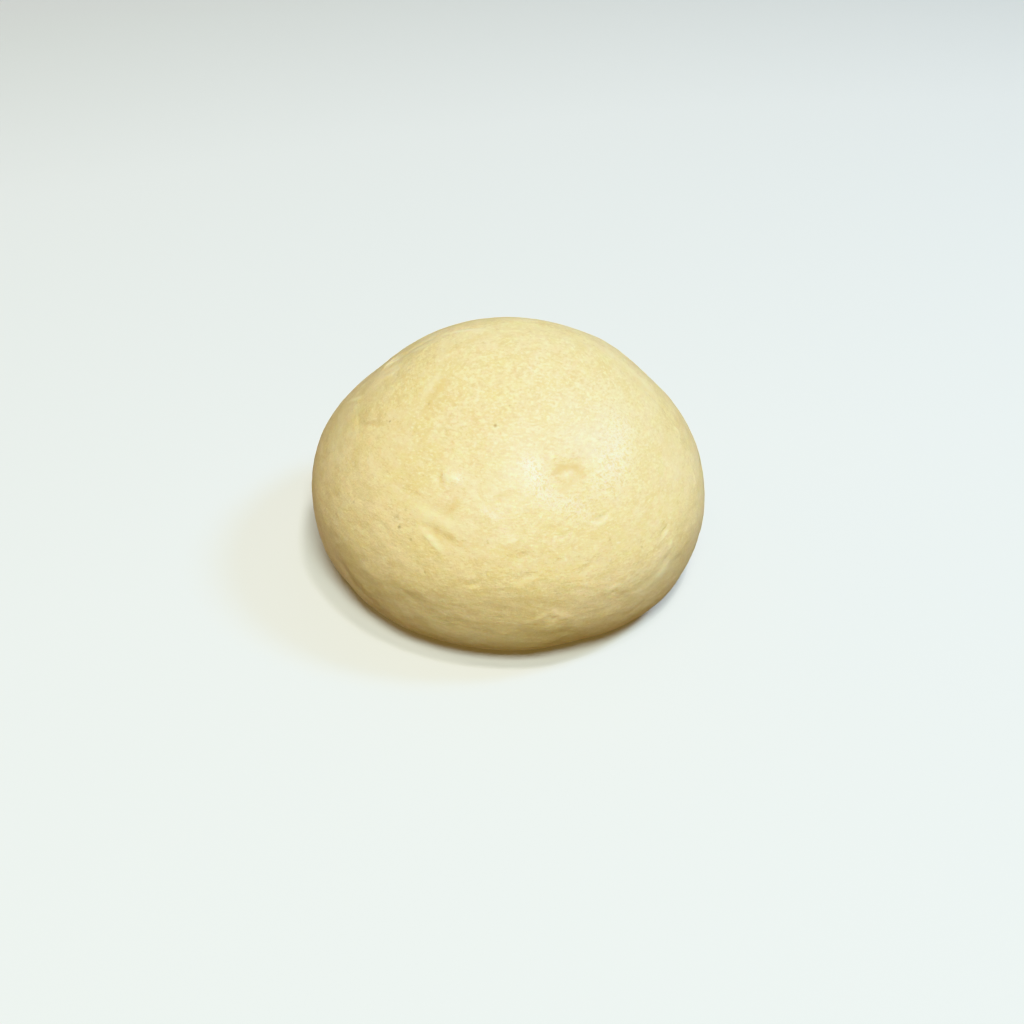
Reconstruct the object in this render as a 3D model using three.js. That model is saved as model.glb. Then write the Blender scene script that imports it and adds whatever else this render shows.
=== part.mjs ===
// A steamed filled bun: one low dome of soft wheat dough under a smooth, drawn skin, widest at a
// belly close to the ground and flat underneath, where it sat on its paper in the steamer.
// Millimetres, +Z up. The origin is the middle of the underside, the shown front faces -Y, and
// its left side is -X.
import * as THREE from 'three';
import { mergeVertices } from 'three/addons/utils/BufferGeometryUtils.js';

// Driving dimensions of the round form
const ACROSS = 90; // widest, at the belly
const HEIGHT = 57; // underside to crown
const BELLY_HEIGHT = 20; // level of the widest ring
const FOOT_ACROSS = 54; // the flat underside
const CROWN_RADIUS = 42; // the round cap of the crown
const CROWN_SLOPE = 24; // how far the cap turns down before the shoulder, in degrees
const SHOULDER_RUN = 9.5; // how far the shoulder keeps the cap's slope
const SHOULDER_RISE = 15; // how far the side stays upright above the belly
const HEEL_DROP = 17; // how far the side stays upright below the belly
const HEEL_SPREAD = 10.2; // how far the heel runs out level from the foot

// The skin's relief fades out over this band above the foot, so that the foot stays flat
const RELIEF_ENDS = 6;
const RELIEF_FADE = 6;

// Icosahedron subdivision of the skin, about 2 mm from point to point
const DIVISIONS = 22;

// A steamed white dough turned ivory, with a faint sheen
const DOUGH_COLOUR = 0xecdfb2;
const DOUGH_ROUGHNESS = 0.5;

/**
 * Places on the skin are given by an azimuth, in degrees from the front and growing towards +X,
 * and a reach, the distance from the crown along the skin. Sizes of marks are in millimetres:
 * wide is around the bun, tall is down the skin, and rise is out of the skin.
 */

// Where the bun is fuller or flatter than a round one, as broad soft swells and hollows
const SWELLS = [
  { name: 'flat on the far left shoulder', azimuth: -119, reach: 41, wide: 8, tall: 8, rise: -0.6 },
  { name: 'notch on the far left shoulder', azimuth: -106.5, reach: 28.5, wide: 2.6, tall: 2.6, rise: -0.35 },
  { name: 'full left flank', azimuth: -97, reach: 56, wide: 8, tall: 9, rise: 0.25 },
  { name: 'hollow low on the left', azimuth: -57, reach: 74, wide: 6.5, tall: 7, rise: -0.5 },
  { name: 'full low on the front left', azimuth: -32, reach: 78, wide: 5, tall: 6, rise: 0.15 },
  { name: 'full band over the tucked fold', azimuth: -31, reach: 64, wide: 7, tall: 3.5, rise: 0.2 },
  { name: 'flat low on the front right', azimuth: 22, reach: 80, wide: 8, tall: 6, rise: -0.6 },
  { name: 'lump low on the front', azimuth: 12.5, reach: 68, wide: 5.5, tall: 3.4, rise: 0.45 },
  { name: 'full low on the right', azimuth: 55, reach: 77, wide: 7, tall: 6, rise: 0.25 },
  { name: 'flat right flank', azimuth: 88, reach: 60, wide: 9, tall: 9, rise: -0.4 },
  { name: 'flat on the far right shoulder', azimuth: 118, reach: 40, wide: 7, tall: 7, rise: -0.3 },
  { name: 'full far right shoulder', azimuth: 133, reach: 31, wide: 6, tall: 6, rise: 0.35 },
  { name: 'flat behind the crown', azimuth: -178, reach: 22, wide: 9, tall: 7, rise: -0.35 },
  { name: 'flat at the back', azimuth: 172, reach: 58, wide: 13, tall: 11, rise: -0.5 },
  { name: 'lump low at the back', azimuth: -148, reach: 70, wide: 7, tall: 5, rise: 0.4 },
  { name: 'floor of the thumb dent', azimuth: 22.5, reach: 35.9, wide: 3.4, tall: 1.9, rise: -0.35 },
];

// Fingertip dents and folds: each runs straight on the skin from one place to another
const FOLDS = [
  { name: 'arch over the thumb dent', from: [18, 34.4], to: [27.5, 34.6], width: 1.5, rise: -0.2 },
  { name: 'small pinch on the left', from: [-23.8, 36.8], to: [-23.2, 39.6], width: 1.3, rise: -0.25 },
  { name: 'lip over the front fold', from: [-29, 45.2], to: [-20, 47.3], width: 1.5, rise: 0.22 },
  { name: 'fold on the front left', from: [-25.5, 48], to: [-14.5, 49.5], width: 1.4, rise: -0.35 },
  { name: 'lip under the front fold', from: [-24, 49.6], to: [-18.5, 52], width: 1.3, rise: 0.22 },
  { name: 'tucked fold low on the left', from: [-55, 68.4], to: [-38, 75.2], width: 2.2, rise: -0.3 },
  { name: 'tucked fold on the front left', from: [-33, 64.4], to: [-20, 67], width: 1.9, rise: -0.15 },
  { name: 'ripple low on the front', from: [2, 56.6], to: [8, 55], width: 1.5, rise: -0.2 },
  { name: 'crease under the front lump', from: [8, 71.2], to: [18.5, 71.4], width: 1.6, rise: -0.15 },
  { name: 'crease on the front right', from: [27, 45.8], to: [31, 45.5], width: 1.3, rise: -0.3 },
  { name: 'drawn line on the left shoulder', from: [-56.5, 16.3], to: [-48.8, 20.6], width: 1.5, rise: -0.15 },
  { name: 'drawn line on the right shoulder', from: [91, 30], to: [87.8, 41.5], width: 1.5, rise: -0.15 },
  { name: 'blister on the right', from: [47.6, 63.3], to: [50, 62.9], width: 1.4, rise: 0.3 },
  { name: 'tucked fold at the back', from: [148, 68], to: [163, 73], width: 1.9, rise: -0.5 },
  { name: 'fold on the far side', from: [-168, 44], to: [-160, 48], width: 1.6, rise: -0.35 },
];

// The slow unevenness of hand-rolled dough: shallow waves spread evenly over the whole skin
const WAVES = 60;
const WAVE_SIZE = 7.5;
const WAVE_RISE = 0.13;

const GOLDEN_ANGLE = 180 * (3 - Math.sqrt(5));

/** Turns degrees into radians. */
const radians = THREE.MathUtils.degToRad;

/** The half outline, from the crown over the belly to the foot and back to the axis. */
function bunOutline() {
  const belly = ACROSS / 2;
  const foot = FOOT_ACROSS / 2;
  const slope = radians(CROWN_SLOPE);
  const capCentre = HEIGHT - CROWN_RADIUS;
  const outline = new THREE.CurvePath();
  outline.add(new THREE.EllipseCurve(
    0, capCentre, CROWN_RADIUS, CROWN_RADIUS, Math.PI / 2, Math.PI / 2 - slope, true,
  ));
  const shoulder = outline.curves[0].getPoint(1);
  outline.add(new THREE.CubicBezierCurve(
    shoulder,
    new THREE.Vector2(Math.cos(slope), -Math.sin(slope)).multiplyScalar(SHOULDER_RUN).add(shoulder),
    new THREE.Vector2(belly, BELLY_HEIGHT + SHOULDER_RISE),
    new THREE.Vector2(belly, BELLY_HEIGHT),
  ));
  outline.add(new THREE.CubicBezierCurve(
    new THREE.Vector2(belly, BELLY_HEIGHT),
    new THREE.Vector2(belly, BELLY_HEIGHT - HEEL_DROP),
    new THREE.Vector2(foot + HEEL_SPREAD, 0),
    new THREE.Vector2(foot, 0),
  ));
  outline.add(new THREE.LineCurve(new THREE.Vector2(foot, 0), new THREE.Vector2(0, 0)));
  return outline;
}

/** The shortest way from one azimuth to another, in degrees. */
function turnBetween(azimuth, other) {
  return THREE.MathUtils.euclideanModulo(azimuth - other + 180, 360) - 180;
}

/** Steps of a place from a mark's own place, around the bun and down the skin. */
function stepsFrom(place, azimuth, reach) {
  return new THREE.Vector2(
    radians(turnBetween(place.azimuth, azimuth)) * place.radius,
    place.reach - reach,
  );
}

/** Falls from 1 where the share is 0, smoothly, to about a third where it is 1. */
function bell(share) {
  return Math.exp(-share);
}

/** How far one swell lifts the skin at a place. */
function swellRise(place, swell) {
  const step = stepsFrom(place, swell.azimuth, swell.reach);
  return swell.rise * bell((step.x / swell.wide) ** 2 + (step.y / swell.tall) ** 2);
}

/** How far one fold lifts the skin at a place: a bell across its line, fading at both ends. */
function foldRise(place, fold) {
  const [startAzimuth, startReach] = fold.from;
  const [endAzimuth, endReach] = fold.to;
  const step = stepsFrom(place, (startAzimuth + endAzimuth) / 2, (startReach + endReach) / 2);
  const run = new THREE.Vector2(
    radians(endAzimuth - startAzimuth) * place.radius,
    endReach - startReach,
  );
  const along = step.dot(run) / run.length();
  const across = step.cross(run) / run.length();
  const ends = bell((along / (run.length() / 2 + fold.width)) ** 4);
  return fold.rise * ends * bell((across / fold.width) ** 2);
}

/** The place of one shallow wave: the turns of a spiral spread them evenly down the skin. */
function wavePlace(index, skinLength) {
  const fraction = (index + 0.5) / WAVES;
  return { azimuth: index * GOLDEN_ANGLE, reach: (Math.acos(1 - 2 * fraction) / Math.PI) * skinLength };
}

/** How far all the shallow waves lift the skin at a place. */
function waveRise(place, skinLength) {
  let rise = 0;
  for (let index = 0; index < WAVES; index += 1) {
    const centre = wavePlace(index, skinLength);
    const step = stepsFrom(place, centre.azimuth, centre.reach);
    const sign = index % 2 === 0 ? 1 : -1;
    rise += sign * WAVE_RISE * bell(step.lengthSq() / WAVE_SIZE ** 2);
  }
  return rise;
}

/** The whole relief at a place, fading to nothing above the foot. */
function skinRise(place, skinLength) {
  const footReach = skinLength - FOOT_ACROSS / 2;
  const fade = THREE.MathUtils.smoothstep(footReach - place.reach, RELIEF_ENDS, RELIEF_ENDS + RELIEF_FADE);
  const swells = SWELLS.reduce((sum, swell) => sum + swellRise(place, swell), 0);
  const folds = FOLDS.reduce((sum, fold) => sum + foldRise(place, fold), 0);
  return fade * (swells + folds + waveRise(place, skinLength));
}

/** Moves a point of the unit sphere to its place on the skin. */
function pointOnSkin(direction, outline) {
  const skinLength = outline.getLength();
  const fraction = Math.acos(THREE.MathUtils.clamp(direction.z, -1, 1)) / Math.PI;
  const azimuth = Math.atan2(direction.x, -direction.y);
  const { x: radius, y: height } = outline.getPointAt(fraction);
  const along = outline.getTangentAt(fraction);
  const place = { azimuth: THREE.MathUtils.radToDeg(azimuth), reach: fraction * skinLength, radius };
  const rise = skinRise(place, skinLength);
  const outwards = radius - rise * along.y;
  return new THREE.Vector3(
    outwards * Math.sin(azimuth),
    -outwards * Math.cos(azimuth),
    Math.max(0, height + rise * along.x),
  );
}

/** The bun's closed skin, an evenly divided ball drawn over the outline. */
function bunGeometry() {
  const ball = new THREE.IcosahedronGeometry(1, DIVISIONS);
  ball.deleteAttribute('normal');
  ball.deleteAttribute('uv');
  const skin = mergeVertices(ball);
  const outline = bunOutline();
  const points = skin.getAttribute('position');
  const point = new THREE.Vector3();
  for (let index = 0; index < points.count; index += 1) {
    point.fromBufferAttribute(points, index);
    points.setXYZ(index, ...pointOnSkin(point, outline));
  }
  skin.computeBoundingBox();
  const middle = skin.boundingBox.getCenter(new THREE.Vector3());
  skin.translate(-middle.x, -middle.y, 0);
  skin.computeVertexNormals();
  return skin;
}

const dough = new THREE.MeshStandardMaterial({
  name: 'dough',
  color: DOUGH_COLOUR,
  roughness: DOUGH_ROUGHNESS,
  metalness: 0,
});

const bun = new THREE.Mesh(bunGeometry(), dough);
bun.name = 'bun';

const part = new THREE.Group();
part.name = 'steamed_bun';
part.add(bun);

export default part;
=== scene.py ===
"""Looks of a steamed filled bun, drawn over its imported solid.

The solid gives the bun's size and its main form. This script draws a finer skin over the same
form, with the small creases, pulled lines and grain of steamed dough, and gives it the colour,
depth and faint moist sheen of the real thing. The form is worked out in millimetres, as the
solid's is, and its mesh is laid in metres.
"""

import logging
import math
from dataclasses import dataclass, field
from enum import Enum
from typing import Any

import bmesh
import bpy
import numpy as np
from mathutils import Matrix, Vector, noise

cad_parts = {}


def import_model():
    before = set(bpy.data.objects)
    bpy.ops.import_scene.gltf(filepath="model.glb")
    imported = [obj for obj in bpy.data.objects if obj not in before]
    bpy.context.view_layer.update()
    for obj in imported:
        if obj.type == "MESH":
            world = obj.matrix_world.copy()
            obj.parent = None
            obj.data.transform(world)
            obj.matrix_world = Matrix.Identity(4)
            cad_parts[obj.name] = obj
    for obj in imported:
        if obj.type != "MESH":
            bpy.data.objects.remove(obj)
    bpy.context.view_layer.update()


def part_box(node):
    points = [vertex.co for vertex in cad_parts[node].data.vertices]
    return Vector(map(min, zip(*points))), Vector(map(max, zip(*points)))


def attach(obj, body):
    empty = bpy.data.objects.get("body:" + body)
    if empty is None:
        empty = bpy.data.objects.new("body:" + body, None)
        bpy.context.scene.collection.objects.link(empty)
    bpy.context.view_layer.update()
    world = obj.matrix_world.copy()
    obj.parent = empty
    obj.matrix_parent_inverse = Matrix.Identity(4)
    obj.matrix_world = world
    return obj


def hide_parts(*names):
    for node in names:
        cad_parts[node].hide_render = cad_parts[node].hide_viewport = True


MM = 0.001

log = logging.getLogger("steamed_bun")

Colour = tuple[float, float, float, float]
Spot = tuple[float, float]

BLACK: Colour = (0.0, 0.0, 0.0, 1.0)


def screen_colour(red: int, green: int, blue: int) -> Colour:
    """Turns a colour as a screen shows it into the light that a shader works with.

    Args:
        red: The red share, 0 to 255.
        green: The green share, 0 to 255.
        blue: The blue share, 0 to 255.

    Returns:
        The linear colour, with full cover.
    """

    def linear(share: int) -> float:
        """Undoes the screen's curve for one share."""
        value = share / 255
        return value / 12.92 if value <= 0.04045 else ((value + 0.055) / 1.055) ** 2.4

    return (linear(red), linear(green), linear(blue), 1.0)


def soft_step(value: np.ndarray, start: float, end: float) -> np.ndarray:
    """Rises smoothly from 0 at start to 1 at end.

    Args:
        value: Where each place stands.
        start: Where the rise starts.
        end: Where the rise ends.

    Returns:
        The risen share of each place.
    """
    share = np.clip((value - start) / (end - start), 0.0, 1.0)
    return share**2 * (3 - 2 * share)


class Section(Enum):
    """How a mark falls away from its middle line."""

    SOFT = 2.0
    SHARP = 1.25

    def fall(self, distance: np.ndarray) -> np.ndarray:
        """Gives the share of the mark that is left, 1 on its line."""
        return np.exp(-np.abs(distance) ** self.value)


class Tint(Enum):
    """The marks of colour on the skin, each in an attribute of its own: real tan stains and the paper
    underside, with painted shade in creases, painted highlights on ridges and painted glints on moist
    patches.
    """

    WARM = "warm_tan_and_painted_shade"
    PALE = "pale_and_painted_highlight"
    GREY = "grey_shade"
    MOIST_AND_GLINT = "moist_gloss_painted_glint"
    PAPER = "paper_side"


@dataclass
class Places:
    """Places on the skin: azimuth in degrees, reach from the crown and radius in mm."""

    azimuth: np.ndarray
    reach: np.ndarray
    radius: np.ndarray

    def steps_from(self, spot: Spot) -> tuple[np.ndarray, np.ndarray]:
        """Measures the steps from one spot to every place.

        Args:
            spot: The spot's azimuth and reach.

        Returns:
            The steps around the bun and down the skin, in mm.
        """
        turn = (self.azimuth - spot[0] + 180.0) % 360.0 - 180.0
        return np.radians(turn) * self.radius, self.reach - spot[1]

    def beside(self, start: Spot, end: Spot) -> tuple[np.ndarray, np.ndarray, np.ndarray]:
        """Measures how every place lies beside a straight run on the skin.

        Args:
            start: Where the run starts.
            end: Where the run ends.

        Returns:
            How far each place is along the run from its middle, and how far across it, in mm,
            and half the length of the run there.
        """
        around, down = self.steps_from(((start[0] + end[0]) / 2, (start[1] + end[1]) / 2))
        run_around, run_down = np.radians(end[0] - start[0]) * self.radius, end[1] - start[1]
        length = np.hypot(run_around, run_down)
        along = (around * run_around + down * run_down) / length
        across = (around * run_down - down * run_around) / length
        return along, across, length / 2

    def wobbled(self, points: np.ndarray, size: float, amount: float) -> "Places":
        """Shifts every place a little, so that the marks laid over them aren't ruled straight.

        Args:
            points: Where the places are in space, in mm.
            size: How far apart the shifts change their way, in mm.
            amount: The most that a place shifts, in mm.

        Returns:
            The shifted places.
        """
        shifts = np.array([noise.noise_vector(Vector(point)) for point in points / size]) * amount
        turn = np.degrees(shifts[:, 0] / np.maximum(self.radius, amount))
        return Places(self.azimuth + turn, self.reach + shifts[:, 1], self.radius)


@dataclass(frozen=True)
class Swell:
    """A broad soft rise or hollow of the dough round a spot, in mm."""

    spot: Spot
    wide: float
    tall: float
    rise: float

    def lift(self, places: Places) -> np.ndarray:
        """Gives how far this swell lifts the skin at each place, in mm."""
        around, down = places.steps_from(self.spot)
        return self.rise * np.exp(-((around / self.wide) ** 2) - (down / self.tall) ** 2)


@dataclass(frozen=True)
class Fold:
    """A crease or lip along a straight run on the skin, in mm."""

    start: Spot
    end: Spot
    width: float
    rise: float
    section: Section = Section.SOFT

    def lift(self, places: Places) -> np.ndarray:
        """Gives how far this fold lifts the skin at each place, in mm."""
        along, across, half = places.beside(self.start, self.end)
        ends = np.exp(-((along / (half + self.width)) ** 4))
        return self.rise * ends * self.section.fall(across / self.width)


@dataclass(frozen=True)
class Stain:
    """A soft mark of colour along a straight run on the skin."""

    tint: Tint
    start: Spot
    end: Spot
    width: float
    strength: float

    def shade(self, places: Places) -> np.ndarray:
        """Gives how strongly this stain colours the skin at each place."""
        along, across, half = places.beside(self.start, self.end)
        ends = np.exp(-((along / (half + self.width)) ** 4))
        return self.strength * ends * Section.SOFT.fall(across / self.width)


@dataclass(frozen=True)
class Speck:
    """A tiny dark fleck of bran in the dough, in mm."""

    spot: Spot
    size: float
    strength: float


@dataclass(frozen=True)
class Walk:
    """The outline as it is walked from the crown: the points passed and the reach of each."""

    points: np.ndarray
    reach: np.ndarray

    @property
    def length(self) -> float:
        """The whole way from the crown to the middle of the foot, in mm."""
        return float(self.reach[-1])

    def at(self, reach: Any) -> tuple[Any, Any]:
        """Gives the radius and the height at a reach, all in mm."""
        return tuple(np.interp(reach, self.reach, column) for column in self.points.T)

    def facing(self, reach: np.ndarray) -> tuple[np.ndarray, np.ndarray]:
        """Finds which way the skin faces.

        Args:
            reach: Reaches, in mm.

        Returns:
            The share of each facing that points outwards, and the share that points up.
        """
        along = np.gradient(self.points, self.reach, axis=0)
        along /= np.linalg.norm(along, axis=1)[:, None]
        return -np.interp(reach, self.reach, along[:, 1]), np.interp(reach, self.reach, along[:, 0])


@dataclass(frozen=True)
class Outline:
    """The bun's half outline in mm: a round crown, a shoulder, a belly, a heel and a foot."""

    across: float = 90.0
    height: float = 57.0
    belly_height: float = 20.0
    foot_across: float = 54.0
    crown_radius: float = 42.0
    crown_slope: float = 24.0
    shoulder_run: float = 9.5
    shoulder_rise: float = 15.0
    heel_drop: float = 17.0
    heel_spread: float = 10.2
    steps: int = 400

    def _bend(self, *handles: Spot) -> np.ndarray:
        """Lays points along a cubic curve.

        Args:
            handles: Its first end, its two handles and its last end.

        Returns:
            The points along it, one in each row.
        """
        t = np.linspace(0.0, 1.0, self.steps)[:, None]
        shares = ((1 - t) ** 3, 3 * t * (1 - t) ** 2, 3 * t**2 * (1 - t), t**3)
        return sum(share * np.array(handle) for share, handle in zip(shares, handles))

    def walk(self) -> Walk:
        """Walks the outline from the crown to the middle of the foot.

        Returns:
            The walk, with the radius and the height of each point passed.
        """
        belly, foot = self.across / 2, self.foot_across / 2
        slope = math.radians(self.crown_slope)
        turn = np.linspace(0.0, slope, self.steps)
        drop = self.crown_radius * (1 - np.cos(turn))
        crown = np.stack([self.crown_radius * np.sin(turn), self.height - drop], axis=1)
        edge_x, edge_y = crown[-1]
        shoulder = self._bend(
            (edge_x, edge_y),
            (edge_x + self.shoulder_run * math.cos(slope), edge_y - self.shoulder_run * math.sin(slope)),
            (belly, self.belly_height + self.shoulder_rise),
            (belly, self.belly_height),
        )
        heel = self._bend(
            (belly, self.belly_height),
            (belly, self.belly_height - self.heel_drop),
            (foot + self.heel_spread, 0.0),
            (foot, 0.0),
        )
        points = np.concatenate([crown, shoulder[1:], heel[1:], [[0.0, 0.0]]])
        steps = np.hypot(*np.diff(points, axis=0).T)
        return Walk(points, np.concatenate([[0.0], np.cumsum(steps)]))


@dataclass(frozen=True)
class SlowWaves:
    """The slow unevenness of hand-rolled dough, as shallow waves spread over the whole skin."""

    count: int = 60
    size: float = 7.5
    rise: float = 0.13

    def swells(self, walk: Walk) -> list[Swell]:
        """Spreads the waves along a spiral, every other one a hollow.

        Args:
            walk: The walked outline.

        Returns:
            The waves as swells.
        """
        golden_angle = 180.0 * (3.0 - math.sqrt(5.0))
        waves = []
        for index in range(self.count):
            reach = math.acos(1 - 2 * (index + 0.5) / self.count) / math.pi * walk.length
            rise = self.rise if index % 2 == 0 else -self.rise
            waves.append(Swell((index * golden_angle, reach), self.size, self.size, rise))
        return waves


@dataclass(frozen=True)
class PulledLines:
    """Short lines where the rolling hand pulled the skin, most of them lying across, in mm."""

    seed: int = 11
    count: int = 170
    reaches: Spot = (14.0, 90.0)
    lengths: Spot = (1.2, 4.2)
    slant: float = 24.0
    widths: Spot = (0.38, 0.75)
    rises: Spot = (0.01, 0.035)

    def folds(self, walk: Walk) -> list[Fold]:
        """Scatters the lines over the skin.

        Args:
            walk: The walked outline.

        Returns:
            The lines as small sharp folds, in and out of the skin.
        """
        chance = np.random.default_rng(self.seed)
        lines = []
        for _ in range(self.count):
            azimuth = chance.uniform(-180.0, 180.0)
            reach = chance.uniform(*self.reaches)
            length = chance.uniform(*self.lengths)
            slant = math.radians(chance.normal(0.0, self.slant))
            turn = math.degrees(length * math.cos(slant) / walk.at(reach)[0])
            end = (azimuth + turn, reach + length * math.sin(slant))
            width = chance.uniform(*self.widths)
            rise = chance.uniform(*self.rises) * chance.choice([-1.0, 1.0])
            lines.append(Fold((azimuth, reach), end, width, rise, Section.SHARP))
        return lines


@dataclass(frozen=True)
class PaperMarks:
    """Pores and faint paper wrinkles of the flat underside, all of them into the dough, in mm."""

    seed: int = 5
    pores: int = 90
    pore_sizes: Spot = (0.5, 1.3)
    pore_depths: Spot = (0.08, 0.28)
    wrinkles: int = 12
    wrinkle_lengths: Spot = (9.0, 26.0)
    wrinkle_width: float = 0.6
    wrinkle_depth: float = 0.14

    def depth(self, points: np.ndarray) -> np.ndarray:
        """Works out how far the marks go into the underside.

        Args:
            points: Places on the underside, x and y in mm, one in each row.

        Returns:
            The depth at each place, in mm.
        """
        chance = np.random.default_rng(self.seed)
        span = np.abs(points).max()
        depth = np.zeros(len(points))
        for _ in range(self.pores):
            middle = chance.uniform(-span, span, 2)
            size = chance.uniform(*self.pore_sizes)
            away = np.hypot(*(points - middle).T) / size
            depth = np.maximum(depth, chance.uniform(*self.pore_depths) * Section.SOFT.fall(away))
        for _ in range(self.wrinkles):
            start = chance.uniform(-span, span, 2)
            heading = chance.uniform(0.0, math.tau)
            run = chance.uniform(*self.wrinkle_lengths) * np.array([math.cos(heading), math.sin(heading)])
            share = np.clip((points - start) @ run / (run @ run), 0.0, 1.0)
            away = np.hypot(*(points - start - share[:, None] * run).T) / self.wrinkle_width
            depth = np.maximum(depth, self.wrinkle_depth * Section.SHARP.fall(away))
        return depth


@dataclass(frozen=True)
class Lumps:
    """Small lumps of the crumb under the skin, in mm, flattened so that they lie across."""

    size: float
    rise: float
    flattening: float = 1.0

    def lift(self, points: np.ndarray) -> np.ndarray:
        """Gives how far the lumps lift the skin at each point, in mm."""
        grid = points / self.size * (1.0, 1.0, self.flattening)
        return self.rise * np.array([noise.noise(Vector(point)) for point in grid])


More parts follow.
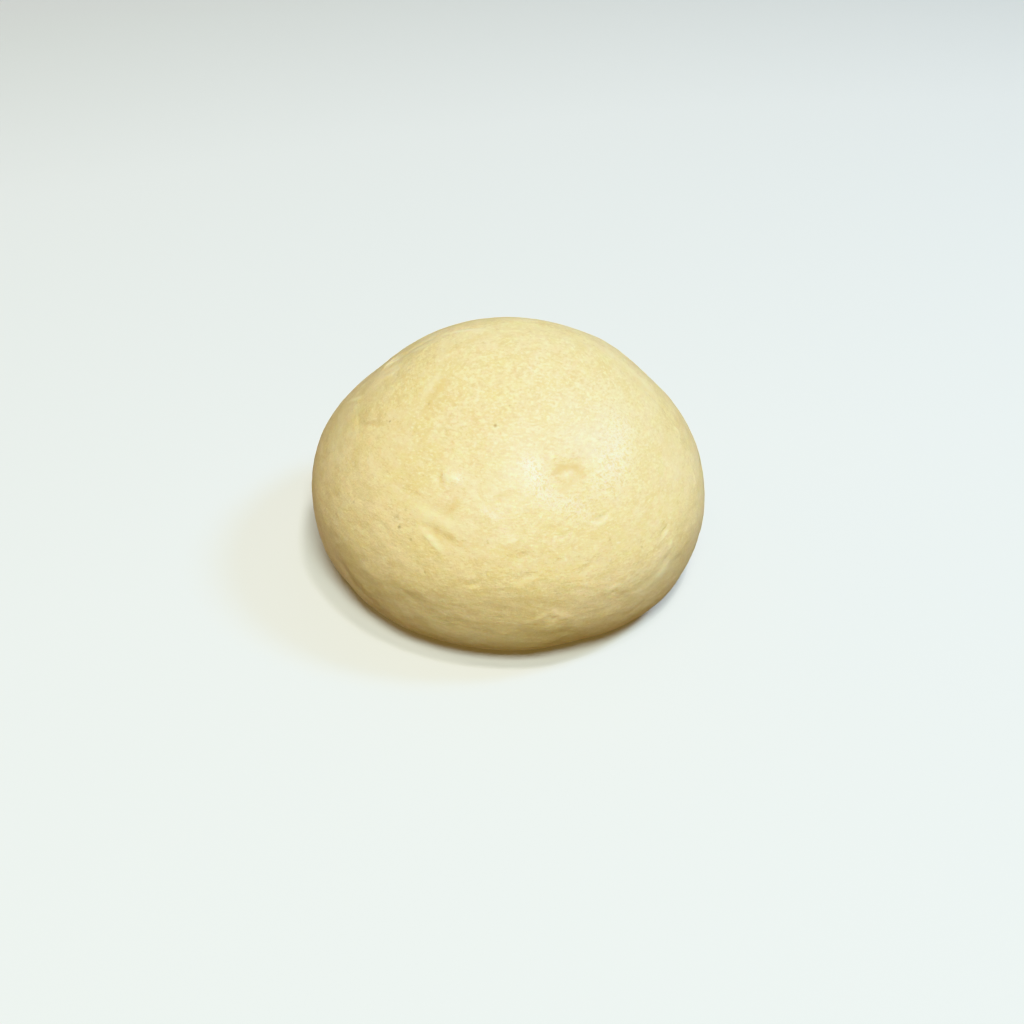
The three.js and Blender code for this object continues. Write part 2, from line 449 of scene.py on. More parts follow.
@dataclass
class BunForm:
    """The form of the bun's skin: its outline, its swells and folds, and its finest relief."""

    outline: Outline = field(default_factory=Outline)
    divisions: int = 98
    relief_ends: float = 6.0
    relief_fade: float = 6.0
    wobble_size: float = 3.0
    wobble: float = 0.3
    waves: SlowWaves = field(default_factory=SlowWaves)
    pulled: PulledLines = field(default_factory=PulledLines)
    paper: PaperMarks = field(default_factory=PaperMarks)
    lumps: tuple[Lumps, ...] = (
        Lumps(size=5.0, rise=0.1),
        Lumps(size=2.6, rise=0.055, flattening=1.4),
        Lumps(size=1.4, rise=0.03, flattening=1.2),
    )
    swells: tuple[Swell, ...] = (
        # Where the whole bun is fuller or flatter than a round one
        Swell((-119, 41), wide=8, tall=8, rise=-0.6),
        Swell((-106.5, 28.5), wide=2.6, tall=2.6, rise=-0.35),
        Swell((-97, 56), wide=8, tall=9, rise=0.25),
        Swell((-57, 74), wide=6.5, tall=7, rise=-0.5),
        Swell((-32, 78), wide=5, tall=6, rise=0.15),
        Swell((-31, 64), wide=7, tall=3.5, rise=0.2),
        Swell((22, 80), wide=8, tall=6, rise=-0.6),
        Swell((12.5, 68), wide=5.5, tall=3.4, rise=0.45),
        Swell((55, 77), wide=7, tall=6, rise=0.25),
        Swell((88, 60), wide=9, tall=9, rise=-0.4),
        Swell((118, 40), wide=7, tall=7, rise=-0.3),
        Swell((133, 31), wide=6, tall=6, rise=0.35),
        Swell((-178, 22), wide=9, tall=7, rise=-0.35),
        Swell((172, 58), wide=13, tall=11, rise=-0.5),
        Swell((-148, 70), wide=7, tall=5, rise=0.4),
        # Fingertip dents and small lumps
        Swell((22.5, 35.9), wide=3.4, tall=1.9, rise=-0.35),
        Swell((-21, 37.2), wide=1.5, tall=1.1, rise=0.34),
        Swell((-24.7, 38.2), wide=0.8, tall=1.3, rise=-0.2),
        Swell((-26.5, 38.9), wide=0.8, tall=0.7, rise=0.14),
        Swell((-6.5, 44.1), wide=1.7, tall=1.4, rise=0.08),
        Swell((-3, 63.2), wide=1.3, tall=1.0, rise=-0.14),
        Swell((-39.5, 63.6), wide=2.2, tall=1.7, rise=0.16),
        Swell((9.5, 53.6), wide=2.0, tall=1.3, rise=-0.12),
        Swell((33.5, 65.5), wide=1.4, tall=1.1, rise=-0.05),
        Swell((66, 48.2), wide=1.6, tall=1.2, rise=-0.16),
        Swell((84.8, 42.6), wide=0.8, tall=0.8, rise=0.18),
    )
    folds: tuple[Fold, ...] = (
        # The thumb dent: a ridge, the arched crease under it, and its lower edge
        Fold((15, 30.8), (25.5, 32.4), width=0.6, rise=0.1),
        Fold((17, 34.6), (20.5, 33.6), width=1.1, rise=-0.08),
        Fold((20.5, 33.6), (26, 34.1), width=1.2, rise=-0.12),
        Fold((26, 34.3), (28, 35.9), width=1.1, rise=-0.1),
        Fold((20.5, 35.7), (23.5, 35.3), width=0.5, rise=0.12),
        Fold((23, 36.9), (17.5, 38), width=0.8, rise=-0.2),
        # The fold on the front left, with the lips over and under it
        Fold((-28.5, 45.5), (-18, 47), width=1.3, rise=0.18),
        Fold((-25.5, 47.7), (-21, 48.5), width=0.5, rise=-0.1),
        Fold((-20.5, 48.7), (-16.5, 49.2), width=1.1, rise=-0.13),
        Fold((-16.5, 49.4), (-12.5, 50.3), width=0.9, rise=-0.12),
        Fold((-25.5, 49.2), (-22, 50.2), width=0.55, rise=0.14),
        Fold((-22, 50.2), (-18.5, 52), width=0.7, rise=0.18),
        # The tucked folds low on the left
        Fold((-55, 68.4), (-38, 75.2), width=2.2, rise=-0.28),
        Fold((-44.5, 73.8), (-39.5, 75), width=0.9, rise=0.12),
        Fold((-33, 64.4), (-25.5, 64.9), width=1.8, rise=-0.12),
        Fold((-25.5, 65), (-20, 67), width=1.7, rise=-0.12),
        # Ripples low on the front
        Fold((3, 56.4), (7.6, 55.3), width=0.9, rise=-0.2),
        Fold((1.5, 58.4), (4.5, 58.2), width=0.5, rise=0.05),
        Fold((4.5, 58.2), (10.5, 55.2), width=0.5, rise=0.07),
        Fold((3.5, 52), (6.2, 50.9), width=0.7, rise=-0.2),
        Fold((8, 67), (11.5, 64.8), width=0.7, rise=0.13),
        Fold((13.5, 64.6), (17.8, 66.8), width=0.7, rise=0.12),
        Fold((12, 65.6), (13.2, 66.4), width=0.6, rise=-0.1),
        Fold((8, 71.2), (18.5, 71.4), width=1.4, rise=-0.06),
        # Creases on the front
        Fold((-6.5, 41.1), (-3.5, 39.7), width=0.7, rise=-0.1),
        Fold((-3.5, 39.6), (2.5, 38.7), width=0.8, rise=-0.14),
        Fold((-11.5, 44.9), (-9, 45.3), width=0.5, rise=-0.12),
        Fold((-10, 58.3), (-8, 58.1), width=0.5, rise=-0.2),
        Fold((-8, 58.1), (-6.7, 57.2), width=0.5, rise=-0.18),
        Fold((-2, 58.3), (-0.5, 58.1), width=0.5, rise=0.14),
        Fold((0.5, 48.6), (2, 48.3), width=0.45, rise=0.12),
        Fold((15.5, 47.6), (18.5, 47.2), width=0.6, rise=-0.16),
        Fold((27, 45.8), (31, 45.5), width=0.7, rise=-0.36),
        Fold((27, 46.9), (31, 46.6), width=0.6, rise=0.2),
        Fold((25.5, 52.5), (27.6, 51.8), width=0.6, rise=0.14),
        Fold((21.4, 56.1), (25, 54.6), width=0.65, rise=-0.2),
        Fold((19.5, 53.5), (20.6, 53.7), width=0.55, rise=-0.14),
        Fold((19, 58.4), (21.2, 59), width=0.6, rise=0.12),
        Fold((29, 62.1), (32.5, 61.2), width=0.7, rise=0.07),
        Fold((43, 49.8), (45.5, 49.6), width=0.5, rise=0.12),
        # Creases and blisters on the right
        Fold((49.5, 54.3), (51.8, 53.9), width=0.5, rise=-0.2),
        Fold((49.6, 55.3), (51.8, 54.9), width=0.5, rise=0.08),
        Fold((52.6, 57.6), (51.8, 58.3), width=0.6, rise=0.07),
        Fold((48.6, 61), (51.3, 60.1), width=0.6, rise=-0.08),
        Fold((47.2, 64), (50.2, 63.2), width=1.0, rise=0.12),
        Fold((65.4, 49.8), (66.6, 51.1), width=0.5, rise=-0.16),
        Fold((63.4, 41.8), (64.6, 43.5), width=0.5, rise=-0.16),
        Fold((77.5, 50.2), (73.2, 54.8), width=0.5, rise=0.12),
        # Lines drawn over the shoulders towards the back
        Fold((91.5, 29), (91, 33.5), width=0.9, rise=-0.1),
        Fold((91, 33.5), (87.8, 41.5), width=0.9, rise=-0.1),
        Fold((-56.5, 16.3), (-48.8, 20.6), width=0.7, rise=-0.12),
        Fold((-72.5, 38.8), (-61, 34.9), width=0.7, rise=-0.16),
        Fold((-76, 39), (-68, 40), width=0.7, rise=-0.12),
        Fold((-108.5, 27), (-119, 20), width=1.0, rise=-0.2),
        Fold((-91.3, 32), (-89.3, 28.2), width=0.6, rise=0.16),
        Fold((-108.8, 32), (-104.2, 32.8), width=0.7, rise=0.2),
        Fold((-92.8, 41.8), (-87.8, 38.4), width=0.7, rise=0.18),
        Fold((-104.8, 19.8), (-100.6, 21), width=0.7, rise=0.14),
        Fold((-126, 16.4), (-135, 10.9), width=0.6, rise=-0.14),
        Fold((169, 12.7), (148, 17.8), width=0.7, rise=-0.16),
        Fold((125, 14.3), (114, 17.2), width=0.6, rise=-0.12),
        Fold((48.5, 4.4), (63, 5.6), width=0.8, rise=-0.1),
        # Folds on the far side
        Fold((148, 68), (163, 73), width=1.8, rise=-0.5),
        Fold((-168, 44), (-160, 48), width=1.4, rise=-0.35),
        Fold((-171, 42.5), (-163, 45.6), width=1.0, rise=0.16),
        Fold((-140, 57), (-133, 60), width=0.8, rise=-0.2),
        Fold((150, 44), (156, 43), width=0.8, rise=-0.16),
        Fold((112, 63), (118, 65.5), width=0.9, rise=-0.22),
    )

    def _ball(self) -> tuple[np.ndarray, np.ndarray]:
        """Divides a ball into a great many even triangles.

        Returns:
            The points of a ball of radius 1, and the three points of each triangle.
        """
        coarse = bmesh.new()
        bmesh.ops.create_icosphere(coarse, subdivisions=1, radius=1.0)
        corners = np.array([[vertex.co for vertex in face.verts] for face in coarse.faces])
        coarse.free()
        rows, columns = np.mgrid[0 : self.divisions + 1, 0 : self.divisions + 1]
        inside = rows + columns <= self.divisions
        index = np.full(inside.shape, -1)
        index[inside] = np.arange(inside.sum())
        second, third = rows[inside] / self.divisions, columns[inside] / self.divisions
        shares = np.stack([1 - second - third, second, third], axis=1)
        points = np.einsum("pk,fkd->fpd", shares, corners).reshape(-1, 3)
        upright = np.stack([index[:-1, :-1], index[1:, :-1], index[:-1, 1:]], axis=-1)
        turned = np.stack([index[1:, :-1], index[1:, 1:], index[:-1, 1:]], axis=-1)
        patch = np.concatenate([part[(part >= 0).all(axis=-1)] for part in (upright, turned)])
        offsets = np.arange(len(corners))[:, None, None] * inside.sum()
        _, first, same = np.unique(np.round(points, 6), axis=0, return_index=True, return_inverse=True)
        points = points[first]
        points /= np.linalg.norm(points, axis=1)[:, None]
        return points, same.reshape(-1)[(patch + offsets).reshape(-1, 3)]

    def _relief(self, places: Places, walk: Walk) -> np.ndarray:
        """Adds up the marks that lift the skin, down to where they fade out above the foot.

        Args:
            places: The places to lift.
            walk: The walked outline.

        Returns:
            The lift at each place, in mm.
        """
        marks = [*self.swells, *self.folds, *self.waves.swells(walk), *self.pulled.folds(walk)]
        lift = np.zeros_like(places.reach)
        for mark in marks:
            lift += mark.lift(places)
        above_foot = walk.length - self.outline.foot_across / 2 - places.reach
        return lift * soft_step(above_foot, self.relief_ends, self.relief_ends + self.relief_fade)

    def shape(self) -> tuple[np.ndarray, np.ndarray, Places]:
        """Draws the ball over the outline and lifts it by the relief.

        Returns:
            The skin's points in mm, the points of each triangle, and where each point lies.
        """
        directions, triangles = self._ball()
        walk = self.outline.walk()
        azimuth = np.arctan2(directions[:, 0], -directions[:, 1])
        reach = np.arccos(np.clip(directions[:, 2], -1.0, 1.0)) / math.pi * walk.length
        radius, height = walk.at(reach)
        outwards, upwards = walk.facing(reach)
        places = Places(np.degrees(azimuth), reach, radius)
        points = np.stack([radius * np.sin(azimuth), -radius * np.cos(azimuth), height], axis=1)
        places = places.wobbled(points, self.wobble_size, self.wobble)
        lift = self._relief(places, walk)
        above_foot = soft_step(height, 0.0, self.relief_fade)
        for lumps in self.lumps:
            lift += above_foot * lumps.lift(points)
        points[:, 0] += lift * outwards * np.sin(azimuth)
        points[:, 1] -= lift * outwards * np.cos(azimuth)
        points[:, 2] = np.maximum(0.0, height + lift * upwards)
        foot = self.outline.foot_across / 2
        under = reach > walk.length - foot
        edge = soft_step(foot - radius[under], 0.0, self.relief_fade)
        points[under, 2] += edge * self.paper.depth(points[under, :2])
        middle = (points.min(axis=0) + points.max(axis=0)) / 2
        points[:, :2] -= middle[:2]
        return points, triangles, places


@dataclass(frozen=True)
class Shade:
    """One output of a node, with the arithmetic that a recipe is written in."""

    recipe: "Recipe"
    socket: bpy.types.NodeSocket

    def _math(self, operation: str, first: Any, second: Any) -> "Shade":
        """Adds one Math node.

        Args:
            operation: The node's operation.
            first: Its first value or shade.
            second: Its second value or shade.

        Returns:
            The node's result.
        """
        return self.recipe.add("ShaderNodeMath", {"operation": operation}, {0: first, 1: second})

    def __add__(self, other: Any) -> "Shade":
        """Adds another value."""
        return self._math("ADD", self, other)

    __radd__ = __add__

    def __sub__(self, other: Any) -> "Shade":
        """Takes another value off."""
        return self._math("SUBTRACT", self, other)

    def __rsub__(self, other: Any) -> "Shade":
        """Is taken off another value."""
        return self._math("SUBTRACT", other, self)

    def __mul__(self, other: Any) -> "Shade":
        """Multiplies by another value."""
        return self._math("MULTIPLY", self, other)

    __rmul__ = __mul__

    def __abs__(self) -> "Shade":
        """Drops the sign."""
        return self._math("ABSOLUTE", self, 0.0)


class Recipe:
    """A tree of nodes, written as a recipe."""

    def __init__(self, owner: bpy.types.Material | bpy.types.World) -> None:
        """Starts with an empty tree.

        Args:
            owner: The material or world that the tree belongs to.
        """
        owner.use_nodes = True
        self.tree = owner.node_tree
        self.tree.nodes.clear()

    def add(self, kind: str, settings: dict[str, Any], inputs: dict[Any, Any], output: Any = 0) -> Shade:
        """Adds a node, sets it up and feeds it.

        Args:
            kind: The node's type.
            settings: The node's own settings, set before its sockets.
            inputs: Values or shades for its sockets, by name or number.
            output: The name or number of the output to hand back.

        Returns:
            That output.
        """
        node = self.tree.nodes.new(kind)
        for name, value in settings.items():
            setattr(node, name, value)
        for name, value in inputs.items():
            if isinstance(value, Shade):
                self.tree.links.new(value.socket, node.inputs[name])
            else:
                node.inputs[name].default_value = value
        return Shade(self, node.outputs[output])

    def place(self) -> Shade:
        """Gives the place on the object, in metres."""
        return self.add("ShaderNodeTexCoord", {}, {}, "Object")

    def stretched(self, vector: Shade, by: tuple[float, float, float]) -> Shade:
        """Stretches a place, each way by its own amount."""
        return self.add("ShaderNodeVectorMath", {"operation": "MULTIPLY"}, {0: vector, 1: by})

    def grain(self, vector: Shade, size: float, detail: float = 2.0, roughness: float = 0.5) -> Shade:
        """Makes cloudy grain.

        Args:
            vector: Where on the object.
            size: The size of the largest grains, in mm.
            detail: How many finer layers it has.
            roughness: How much the finer layers count.

        Returns:
            A value about 0.5.
        """
        inputs = {"Vector": vector, "Scale": 1 / (size * MM), "Detail": detail, "Roughness": roughness}
        return self.add("ShaderNodeTexNoise", {}, inputs, "Fac")

    def ramp(self, value: Any, low: float, high: float, start: float = 0.0, end: float = 1.0) -> Shade:
        """Turns a range of values into another, with soft ends.

        Args:
            value: The value to turn.
            low: Where the range starts.
            high: Where the range ends.
            start: What comes out at low.
            end: What comes out at high.

        Returns:
            The turned value.
        """
        inputs = {"Value": value, "From Min": low, "From Max": high, "To Min": start, "To Max": end}
        return self.add("ShaderNodeMapRange", {"interpolation_type": "SMOOTHSTEP"}, inputs, "Result")

    def away(self, place: Shade, middle: Any) -> Shade:
        """Measures how far a place lies from a middle, in metres."""
        return self.add("ShaderNodeVectorMath", {"operation": "DISTANCE"}, {0: place, 1: middle}, "Value")

    def fleck(self, place: Shade, middle: Vector, size: float, strength: float) -> Shade:
        """Draws a small round fleck.

        Args:
            place: The place on the object, in metres.
            middle: The fleck's middle, in metres.
            size: How far it reaches from its middle, in mm.
            strength: How strong it is at its middle.

        Returns:
            The fleck's strength at the place.
        """
        return self.ramp(self.away(place, middle), 0.0, size * MM, strength, 0.0)

    def mark(self, tint: Tint) -> Shade:
        """Reads one of the skin's marks of colour."""
        return self.add("ShaderNodeAttribute", {"attribute_name": tint.value}, {}, "Fac")

    def cover(self, share: Any, under: Any, over: Any) -> Shade:
        """Lays one colour over another.

        Args:
            share: How much of the upper colour shows, 0 to 1.
            under: The lower colour.
            over: The upper colour.

        Returns:
            The colour that comes out.
        """
        settings = {"data_type": "RGBA", "clamp_factor": True}
        return self.add("ShaderNodeMix", settings, {0: share, 6: under, 7: over}, 2)

    def bump(self, height: Shade, depth: float, **below: Shade) -> Shade:
        """Roughens the surface.

        Args:
            height: The height, 0 to 1.
            depth: How high 1 is, in mm.
            below: As Normal, the rougher surface that this one lies on.

        Returns:
            The normal of the roughened surface.
        """
        inputs = {"Height": height, "Distance": depth * MM, **below}
        return self.add("ShaderNodeBump", {}, inputs, "Normal")

    def surface(self, shader: Shade, output: str = "ShaderNodeOutputMaterial") -> None:
        """Shows a shader as the surface of the recipe's owner.

        Args:
            shader: The shader's output.
            output: The type of the output node.
        """
        node = self.tree.nodes.new(output)
        self.tree.links.new(shader.socket, node.inputs["Surface"])


@dataclass(frozen=True)
class DoughFinish:
    """Steamed wheat dough: ivory, a little see-through, with a faint moist sheen."""

    cream: Colour = screen_colour(232, 213, 167)
    butter: Colour = screen_colour(225, 206, 150)
    tan: Colour = screen_colour(207, 182, 126)
    milk: Colour = screen_colour(243, 231, 187)
    crumb: Colour = screen_colour(208, 185, 137)
    shade: Colour = screen_colour(166, 139, 94)
    paper: Colour = screen_colour(242, 224, 182)
    # A painted glint colour, laid over the worm lines of the moist patches
    painted_glint: Colour = screen_colour(255, 249, 228)
    cloud_size: float = 14.0
    mottle_size: float = 4.5
    fine_size: float = 1.6
    speckle_size: float = 0.75
    grain_size: float = 0.8
    grain_depth: float = 0.05
    streak_depth: float = 0.045
    lit_grain_middle: tuple[float, float, float] = (0.006, -0.018, 0.05)
    lit_grain_reaches: Spot = (0.004, 0.042)
    lit_grain_strengths: Spot = (2.3, 0.65)
    roughness: Spot = (0.36, 0.46)
    painted_glint_strength: float = 0.7
    glint_shine: float = 0.22
    specular: float = 0.5
    depth_weight: float = 0.5
    depth_colours: tuple[float, float, float] = (1.0, 0.62, 0.3)
    depth_size: float = 0.9

    def material(self, flecks: list[tuple[Vector, Speck]]) -> bpy.types.Material:
        """Mixes the dough.

        Args:
            flecks: The dark flecks, each with its middle in metres.

        Returns:
            The dough's material.
        """
        material = bpy.data.materials.new("steamed_dough")
        recipe = Recipe(material)
        place = recipe.place()
        across = recipe.stretched(place, (1.0, 1.0, 2.2))
        clouds = recipe.grain(place, self.cloud_size)
        mottle = recipe.grain(across, self.mottle_size, detail=2.5, roughness=0.55)
        warmth = recipe.grain(recipe.stretched(across, (1.0, -1.0, 1.0)), self.mottle_size, detail=3.0)
        fine = recipe.grain(across, self.fine_size, detail=3.0, roughness=0.6)
        buttery = recipe.ramp(clouds * 0.5 + mottle * 0.5, 0.36, 0.62)
        colour = recipe.cover(buttery, self.cream, self.butter)
        colour = recipe.cover(recipe.ramp(warmth, 0.42, 0.75) * 0.4, colour, self.tan)
        # The specks' contrast is raised round the brightest lit spot of the front, partly real grain and
        # partly painted sparkle of the sheen
        lit_grain = recipe.ramp(recipe.away(place, self.lit_grain_middle), *self.lit_grain_reaches, *self.lit_grain_strengths)
        speckle = recipe.grain(across, self.speckle_size, detail=2.0, roughness=0.7)
        milky = (recipe.ramp(fine, 0.5, 0.75) * 0.5 + recipe.ramp(speckle, 0.5, 0.8) * 0.9) * lit_grain
        colour = recipe.cover(milky, colour, self.milk)
        crumbs = (recipe.ramp(speckle, 0.2, 0.5, 0.8, 0.0) + recipe.ramp(fine, 0.25, 0.5, 0.5, 0.0)) * lit_grain
        colour = recipe.cover(crumbs, colour, self.crumb)
        worms = 1.0 - abs(recipe.grain(place, self.grain_size) * 2.0 - 1.0)
        # Painted glints: the worm lines in the moist patches are whitened in the colour, and made
        # glossier in the roughness below
        gloss_and_painted_glints = recipe.ramp(worms, 0.8, 1.0) * recipe.mark(Tint.MOIST_AND_GLINT)
        colour = recipe.cover(gloss_and_painted_glints * self.painted_glint_strength, colour, self.painted_glint)
        # Painted shade and highlights: the warm marks darken creases and dents beside a few real tan
        # stains, the pale marks lighten ridges, lumps and patches
        colour = recipe.cover(recipe.mark(Tint.WARM), colour, self.tan)
        colour = recipe.cover(recipe.mark(Tint.PALE), colour, self.milk)
        # Painted shade from the grey marks along creases, together with the real dark flecks of bran
        dark = recipe.mark(Tint.GREY)
        for middle, speck in flecks:
            dark = dark + recipe.fleck(place, middle, speck.size, speck.strength)
        colour = recipe.cover(dark, colour, self.shade)
        colour = recipe.cover(recipe.mark(Tint.PAPER), colour, self.paper)
        streaks = recipe.grain(recipe.stretched(place, (1.0, 1.0, 3.5)), self.fine_size)
        streaked = recipe.bump(streaks, self.streak_depth)
        normal = recipe.bump(worms, self.grain_depth, Normal=streaked)
        shader = recipe.add(
            "ShaderNodeBsdfPrincipled",
            {"subsurface_method": "RANDOM_WALK"},
            {
                "Base Color": colour,
                "Roughness": recipe.ramp(fine, 0.3, 0.7, *self.roughness) - gloss_and_painted_glints * self.glint_shine,
                "Specular IOR Level": self.specular,
                "Subsurface Weight": self.depth_weight,
                "Subsurface Radius": self.depth_colours,
                "Subsurface Scale": self.depth_size * MM,
                "Normal": normal,
            },
        )
        recipe.surface(shader)
        return material


@dataclass
class SteamedBun:
    """The whole bun: one closed skin of dough."""

    name: str = "bun_dough"
    node: str = "bun"
    body: str = "root"
    slot: str = "dough"
    form: BunForm = field(default_factory=BunForm)
    finish: DoughFinish = field(default_factory=DoughFinish)
    stains: tuple[Stain, ...] = (
        # The thumb dent's brown arch: a tan stain with painted shade along the crease, and a painted
        # highlight on the small rise inside it
        Stain(Tint.WARM, (17, 34.9), (21, 33.9), width=0.85, strength=0.65),
        Stain(Tint.WARM, (20.5, 33.9), (26, 34.4), width=1.0, strength=0.75),
        Stain(Tint.WARM, (26, 34.6), (28, 36), width=0.9, strength=0.7),
        Stain(Tint.WARM, (26, 36.6), (18.5, 38.4), width=0.75, strength=0.8),
        Stain(Tint.PALE, (20.5, 35.7), (23.5, 35.3), width=0.6, strength=0.6),
        # Round the fold on the front left: painted shade in its creases and dent, painted highlights on
        # its lips and lumps, and a tan stain beside it
        Stain(Tint.PALE, (-22.3, 37.1), (-19.8, 36.9), width=0.9, strength=0.9),
        Stain(Tint.WARM, (-25.4, 37.2), (-24.3, 38.8), width=0.7, strength=0.8),
        Stain(Tint.PALE, (-26.7, 38.8), (-26.2, 38.9), width=0.5, strength=0.6),
        Stain(Tint.WARM, (-18.3, 43.8), (-16.5, 41.8), width=1.3, strength=0.75),
        Stain(Tint.PALE, (-28.5, 45.3), (-18, 46.9), width=1.6, strength=0.65),
        Stain(Tint.WARM, (-25.5, 47.8), (-21, 48.5), width=0.45, strength=0.4),
        Stain(Tint.WARM, (-20.5, 48.7), (-16.5, 49.1), width=1.0, strength=0.65),
        Stain(Tint.WARM, (-16.5, 49.4), (-12.5, 50.3), width=0.9, strength=0.5),
        Stain(Tint.PALE, (-25.5, 49.2), (-22, 50.2), width=0.5, strength=0.7),
        Stain(Tint.PALE, (-22, 50.2), (-18.5, 52), width=0.6, strength=0.85),
        # Scattered strokes: most warm and grey ones are painted shade along creases, the pale ones
        # painted highlights on ridges, lumps and edges
        Stain(Tint.WARM, (-56.5, 16.3), (-48.5, 24.6), width=0.9, strength=0.55),
        Stain(Tint.WARM, (-49.5, 20), (-46, 24.5), width=2.0, strength=0.3),
        Stain(Tint.PALE, (-61, 18.7), (-55, 24.4), width=1.0, strength=0.5),
        Stain(Tint.PALE, (-115, 21), (-129.5, 8.5), width=0.9, strength=0.7),
        Stain(Tint.WARM, (-97.5, 9.6), (-142, 3.5), width=0.8, strength=0.35),
        Stain(Tint.PALE, (-140, 5.3), (-200, 5), width=0.6, strength=0.6),
        Stain(Tint.PALE, (-96, 31), (-96, 27), width=0.8, strength=0.5),
        Stain(Tint.PALE, (103.5, 26.7), (95.5, 33.6), width=0.9, strength=0.45),
        Stain(Tint.WARM, (94.5, 27.1), (91.5, 35.4), width=0.8, strength=0.35),
        Stain(Tint.PALE, (-95, 42.8), (-88.5, 37.9), width=0.7, strength=0.8),
        Stain(Tint.PALE, (-95.3, 39.9), (-94.7, 39.7), width=0.6, strength=0.8),
        Stain(Tint.PALE, (-99.7, 39.1), (-98.6, 38.3), width=0.7, strength=0.9),
        Stain(Tint.PALE, (-91.5, 31.8), (-91, 27.4), width=0.9, strength=0.6),
        Stain(Tint.PALE, (-101.5, 31.6), (-105, 29.9), width=0.9, strength=0.7),
        Stain(Tint.PALE, (-106, 24.8), (-105.5, 20.4), width=0.9, strength=0.6),
        Stain(Tint.WARM, (-73, 38.7), (-62, 34.4), width=0.8, strength=0.3),
        Stain(Tint.WARM, (48.5, 4.2), (63.5, 5.5), width=0.8, strength=0.45),
        Stain(Tint.WARM, (-6.5, 40.9), (-3.5, 39.5), width=0.8, strength=0.35),
        Stain(Tint.WARM, (-3.5, 39.4), (3.5, 38.6), width=0.8, strength=0.45),
        Stain(Tint.PALE, (0.4, 48.3), (2.1, 48), width=0.5, strength=0.7),
        Stain(Tint.GREY, (28.5, 45.8), (31, 45.3), width=0.45, strength=0.45),
        Stain(Tint.GREY, (15.5, 47.6), (18, 47.3), width=0.4, strength=0.25),
        Stain(Tint.PALE, (27.5, 47.1), (32, 46.3), width=0.5, strength=0.7),
        Stain(Tint.GREY, (-32, 64.8), (-21, 66.8), width=1.7, strength=0.12),
        Stain(Tint.PALE, (84.6, 42.4), (85.4, 42.9), width=0.7, strength=0.5),
        Stain(Tint.GREY, (49.6, 54.3), (51.8, 53.9), width=0.4, strength=0.2),
        Stain(Tint.PALE, (49.6, 55.3), (51.8, 54.9), width=0.5, strength=0.7),
        Stain(Tint.PALE, (52.6, 57.6), (51.8, 58.3), width=0.7, strength=0.7),
        Stain(Tint.GREY, (48.6, 61), (51.3, 60.1), width=0.5, strength=0.15),
        Stain(Tint.PALE, (47.2, 64), (50.2, 63.2), width=1.1, strength=0.6),
        Stain(Tint.PALE, (29.5, 62), (32.5, 61.4), width=0.6, strength=0.5),
        # Broad faint patches
        Stain(Tint.GREY, (-2, 60), (10, 60.5), width=3.0, strength=0.08),
        Stain(Tint.GREY, (22, 72), (34, 70), width=3.0, strength=0.08),
        Stain(Tint.PALE, (-20, 72), (6, 73.5), width=3.5, strength=0.3),
        Stain(Tint.PALE, (41, 66), (50, 64), width=3.0, strength=0.3),
        Stain(Tint.PALE, (-88, 44), (-72, 47), width=3.0, strength=0.3),
        # Moist patches: glossier skin, with painted glints whitening its colour
        Stain(Tint.MOIST_AND_GLINT, (8.5, 32.5), (11, 35.5), width=2.2, strength=1.0),
        Stain(Tint.MOIST_AND_GLINT, (55, 30.5), (36.5, 38.4), width=4.0, strength=0.9),
        Stain(Tint.MOIST_AND_GLINT, (12, 38.8), (24, 43.5), width=2.6, strength=0.8),
        Stain(Tint.MOIST_AND_GLINT, (-22.5, 37.1), (-19, 36.9), width=1.4, strength=1.0),
        Stain(Tint.MOIST_AND_GLINT, (-7.5, 42.8), (-4, 43.2), width=1.6, strength=0.4),
    )
    specks: tuple[Speck, ...] = (
        Speck((-8.6, 24.5), size=0.8, strength=1.0),
        Speck((-59.5, 32.7), size=0.45, strength=0.8),
        Speck((-1.5, 19.3), size=0.5, strength=0.6),
        Speck((2, 18.9), size=0.4, strength=0.5),
        Speck((-49, 24.6), size=0.55, strength=0.4),
        Speck((-22.5, 33.1), size=0.5, strength=0.4),
        Speck((-31, 38.6), size=0.45, strength=0.35),
        Speck((-32.5, 50.1), size=0.7, strength=0.7),
        Speck((-34, 48.5), size=1.0, strength=0.25),
        Speck((-32.5, 46.6), size=0.7, strength=0.3),
        Speck((-27.5, 52), size=0.55, strength=0.55),
        Speck((-51, 50.9), size=0.6, strength=0.4),
        Speck((-22, 57.5), size=0.5, strength=0.45),
        Speck((41.5, 30.3), size=0.5, strength=0.5),
        Speck((52, 31.1), size=0.45, strength=0.35),
        Speck((44.5, 20.1), size=0.45, strength=0.35),
        Speck((7.5, 44.8), size=0.45, strength=0.5),
        Speck((41, 54.8), size=0.45, strength=0.45),
        Speck((31, 50.6), size=0.45, strength=0.45),
        Speck((152, 40), size=0.5, strength=0.6),
        Speck((-158, 33), size=0.45, strength=0.5),
        Speck((118, 52), size=0.5, strength=0.5),
        Speck((-131, 62), size=0.5, strength=0.6),
    )

    def _mesh(self, points: np.ndarray, triangles: np.ndarray) -> bpy.types.Mesh:
        """Lays the skin's mesh.

        Args:
            points: The skin's points, in metres.
            triangles: The points of each triangle.

        Returns:
            The mesh, smoothly shaded.
        """
        mesh = bpy.data.meshes.new(self.name)
        mesh.from_pydata(points.tolist(), [], triangles.tolist())
        mesh.shade_smooth()
        return mesh

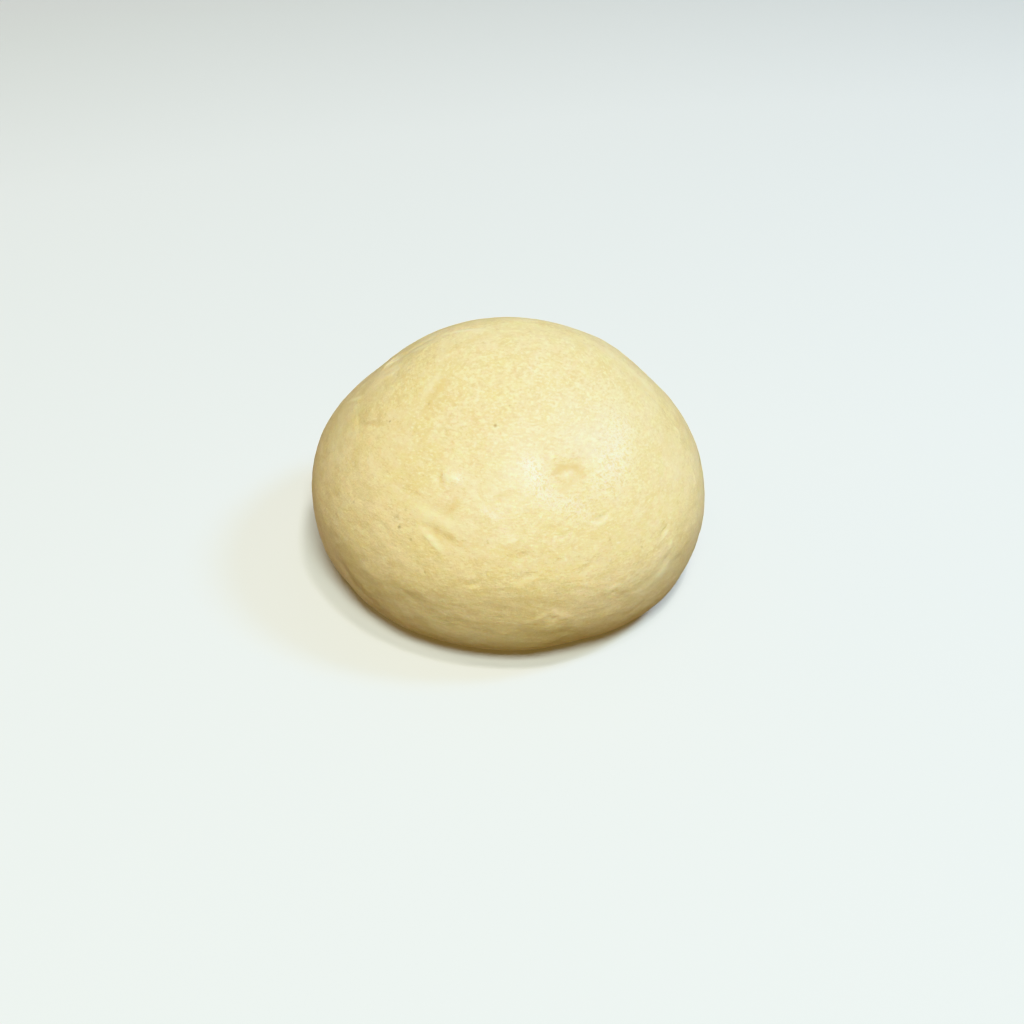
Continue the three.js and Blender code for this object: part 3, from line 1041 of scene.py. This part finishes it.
    def _mark_colours(self, mesh: bpy.types.Mesh, places: Places) -> None:
        """Writes the marks of colour into the mesh.

        Args:
            mesh: The skin's mesh.
            places: Where each of its points lies.
        """
        marks = {tint: np.zeros_like(places.reach) for tint in Tint}
        for stain in self.stains:
            marks[stain.tint] += stain.shade(places)
        foot = self.form.outline.foot_across / 2
        under = places.reach > places.reach.max() / 2
        marks[Tint.PAPER] = under * soft_step(foot - places.radius, 0.0, self.form.relief_fade)
        for tint, strength in marks.items():
            attribute = mesh.attributes.new(tint.value, "FLOAT", "POINT")
            attribute.data.foreach_set("value", strength.astype(np.float32))

    def _flecks(self, points: np.ndarray, places: Places) -> list[tuple[Vector, Speck]]:
        """Finds where the dark flecks lie.

        Args:
            points: The skin's points, in metres.
            places: Where each of them lies on the skin.

        Returns:
            The flecks, each with its middle in metres.
        """
        nearest = [np.hypot(*places.steps_from(speck.spot)).argmin() for speck in self.specks]
        return [(Vector(points[index]), speck) for index, speck in zip(nearest, self.specks)]

    def build(self) -> bpy.types.Object:
        """Makes the bun inside the box that its solid fills, dresses it and lets it ride.

        Returns:
            The bun.
        """
        points, triangles, places = self.form.shape()
        points *= MM
        lowest, highest = (np.array(corner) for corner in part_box(self.node))
        points *= min(1.0, *((highest - lowest) / (points.max(axis=0) - points.min(axis=0))))
        mesh = self._mesh(points, triangles)
        self._mark_colours(mesh, places)
        mesh.materials.append(self.finish.material(self._flecks(points, places)))
        bun = bpy.data.objects.new(self.name, mesh)
        bpy.context.scene.collection.objects.link(bun)
        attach(bun, self.body)
        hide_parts(self.node)
        return bun


@dataclass(frozen=True)
class SoftLamp:
    """A round soft lamp, aimed at the bun from an azimuth, an elevation and a distance in m."""

    name: str
    azimuth: float
    elevation: float
    watts: float
    size: float = 0.5
    distance: float = 1.1
    colour: tuple[float, float, float] = (1.0, 1.0, 1.0)

    def hang(self, aim: Vector) -> bpy.types.Object:
        """Hangs the lamp.

        Args:
            aim: The point that it lights.

        Returns:
            The lamp.
        """
        light = bpy.data.lights.new(self.name, "AREA")
        light.shape = "DISK"
        light.size = self.size
        light.energy = self.watts
        light.color = self.colour
        lamp = bpy.data.objects.new(self.name, light)
        azimuth, elevation = math.radians(self.azimuth), math.radians(self.elevation)
        level = math.cos(elevation)
        away = Vector((math.sin(azimuth) * level, -math.cos(azimuth) * level, math.sin(elevation)))
        lamp.location = aim + away * self.distance
        lamp.rotation_euler = away.to_track_quat("Z", "Y").to_euler()
        bpy.context.scene.collection.objects.link(lamp)
        return lamp


@dataclass(frozen=True)
class Viewpoint:
    """The camera: where it stands, in metres and degrees, and how it looks at the bun."""

    elevation: float = 36.6
    roll: float = 2.364
    distance: float = 0.35777
    rightward: float = 0.00148
    upward: float = 0.00899
    focal_length: float = 1506.0
    picture_side: float = 1024.0
    sensor: float = 36.0

    def stand(self) -> bpy.types.Object:
        """Sets the camera up.

        Returns:
            The camera.
        """
        view = bpy.data.cameras.new("front_view")
        view.sensor_width = self.sensor
        view.lens = self.focal_length / self.picture_side * self.sensor
        view.clip_start = self.distance / 100
        camera = bpy.data.objects.new("front_view", view)
        camera.matrix_world = (
            Matrix.Rotation(math.radians(90.0 - self.elevation), 4, "X")
            @ Matrix.Rotation(math.radians(self.roll), 4, "Z")
            @ Matrix.Translation((self.rightward, self.upward, self.distance))
        )
        bpy.context.scene.collection.objects.link(camera)
        bpy.context.scene.camera = camera
        return camera


@dataclass
class Studio:
    """A plain pale room with soft light from above and from the front."""

    room_radius: float = 4.0
    room_height: float = 4.0
    room_sides: int = 96
    plain_colour: Colour = screen_colour(226, 226, 224)
    plain_roughness: float = 0.7
    far_reaches: Spot = (0.4, 1.2)
    far_glow: Colour = (0.66, 0.7, 0.7, 1.0)
    room_colour: Colour = (1.0, 0.82, 0.59, 1.0)
    table_heights: Spot = (-0.95, -0.55)
    table_glows: Spot = (0.15, 0.6)
    horizon: Spot = (-0.38, -0.05)
    wall_glow: float = 0.19
    aim_height: float = 0.028
    lamps: tuple[SoftLamp, ...] = (
        SoftLamp("front_lamp", azimuth=5, elevation=55, watts=10.6, size=0.35, colour=(0.9, 1.0, 0.92)),
        SoftLamp("right_lamp", azimuth=95, elevation=52, watts=6.3, size=0.25, colour=(0.55, 0.75, 1.0)),
        SoftLamp("high_lamp", azimuth=30, elevation=73, watts=3.4, size=0.15),
        SoftLamp("left_lamp", azimuth=-50, elevation=67, watts=0.8, size=0.15, colour=(1.0, 0.95, 0.8)),
        SoftLamp("side_lamp", azimuth=-95, elevation=30, watts=0.65, size=0.35, colour=(1.0, 0.9, 0.65)),
        SoftLamp("back_lamp", azimuth=160, elevation=60, watts=0.5, size=0.35),
    )
    viewpoint: Viewpoint = field(default_factory=Viewpoint)

    def _room(self) -> bpy.types.Object:
        """Builds the room's floor, wall and ceiling. The sky stands in for the light they throw.

        Returns:
            The room.
        """
        drum = bmesh.new()
        sizes = {"radius1": self.room_radius, "radius2": self.room_radius, "depth": self.room_height}
        rise = Matrix.Translation((0.0, 0.0, self.room_height / 2))
        bmesh.ops.create_cone(drum, cap_ends=True, segments=self.room_sides, matrix=rise, **sizes)
        mesh = bpy.data.meshes.new("pale_room")
        drum.to_mesh(mesh)
        drum.free()
        material = bpy.data.materials.new("pale_room")
        material.cycles.emission_sampling = "NONE"
        recipe = Recipe(material)
        far = recipe.ramp(recipe.away(recipe.place(), (0.0, 0.0, 0.0)), *self.far_reaches)
        inputs = {
            "Base Color": recipe.cover(far, self.plain_colour, BLACK),
            "Roughness": self.plain_roughness,
            "Emission Color": recipe.cover(far, BLACK, self.far_glow),
            "Emission Strength": 1.0,
        }
        recipe.surface(recipe.add("ShaderNodeBsdfPrincipled", {}, inputs))
        mesh.materials.append(material)
        room = bpy.data.objects.new("pale_room", mesh)
        room.visible_diffuse = False
        room.visible_glossy = False
        room.visible_shadow = False
        bpy.context.scene.collection.objects.link(room)
        return room

    def _sky(self) -> None:
        """Lights the room warmly from its table, and leaves its walls and its height dim."""
        world = bpy.data.worlds.new("soft_room")
        recipe = Recipe(world)
        heading = recipe.add("ShaderNodeTexCoord", {}, {}, "Generated")
        height = recipe.add("ShaderNodeSeparateXYZ", {}, {0: heading}, "Z")
        table = recipe.ramp(height, *self.table_heights, *self.table_glows)
        glow = table + recipe.ramp(height, *self.horizon) * (self.wall_glow - table)
        light = recipe.add("ShaderNodeBackground", {}, {"Color": self.room_colour, "Strength": glow})
        recipe.surface(light, "ShaderNodeOutputWorld")
        bpy.context.scene.world = world

    def build(self) -> list[bpy.types.Object]:
        """Sets up the room, its light, the lamps and the camera.

        Returns:
            What stands in the studio.
        """
        bpy.context.scene.view_settings.view_transform = "Khronos PBR Neutral"
        self._sky()
        aim = Vector((0.0, 0.0, self.aim_height))
        return [self._room(), *(lamp.hang(aim) for lamp in self.lamps), self.viewpoint.stand()]


def main() -> None:
    """Loads the solid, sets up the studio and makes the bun."""
    logging.basicConfig(level=logging.INFO, format="%(name)s: %(message)s")
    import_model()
    for thing in Studio().build():
        log.info("studio: %s", thing.name)
    bun = SteamedBun().build()
    log.info("%s: %d points, %d triangles", bun.name, len(bun.data.vertices), len(bun.data.polygons))


if __name__ == "__main__":
    main()
